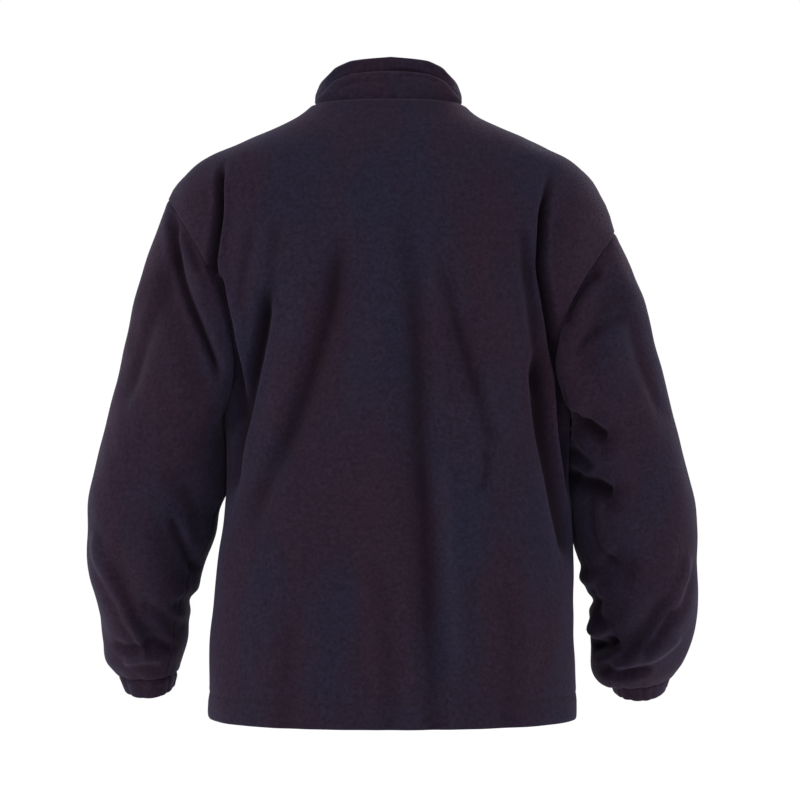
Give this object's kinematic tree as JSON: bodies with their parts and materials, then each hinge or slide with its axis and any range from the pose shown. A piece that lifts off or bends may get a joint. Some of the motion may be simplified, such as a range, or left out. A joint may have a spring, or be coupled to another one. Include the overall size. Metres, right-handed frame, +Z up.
{
  "type": "fleece zip jacket",
  "caption": "Long-sleeved fleece jacket with a stand collar, elastic cuffs and a full-length front zip, filled out and open at the neck, hem and cuffs as if worn.",
  "frame": {"origin": "the middle of the neck opening, level with the side neck points, where the wearer's neck holds it", "axes": "+Z up, towards the collar; -Y out of the zip front; +X towards the wearer's left"},
  "size_m": [0.6928, 0.2692, 0.7323],
  "materials": {
    "fleece": "brushed, matte",
    "zip_tape": "woven, matte",
    "zip_teeth": "satin",
    "zip_metal": "satin"
  },
  "bodies": {
    "garment": {"back": "fleece", "front_left": "fleece", "front_right": "fleece", "collar": "fleece", "sleeve_left": "fleece", "cuff_left": "fleece", "sleeve_right": "fleece", "cuff_right": "fleece", "zip_tape_left": "zip_tape", "zip_tape_right": "zip_tape", "zip_chain": "zip_teeth", "zip_slider": "zip_metal"},
    "pull_tab": {"pull_tab": "zip_metal"}
  },
  "joints": [
    {"name": "pull_tab_swing", "type": "hinge", "parent": "garment", "child": "pull_tab", "pos_m": [0, -0.08215, -0.01092], "axis": [-1, 0, 0], "range_deg": [-10, 150]}
  ]
}
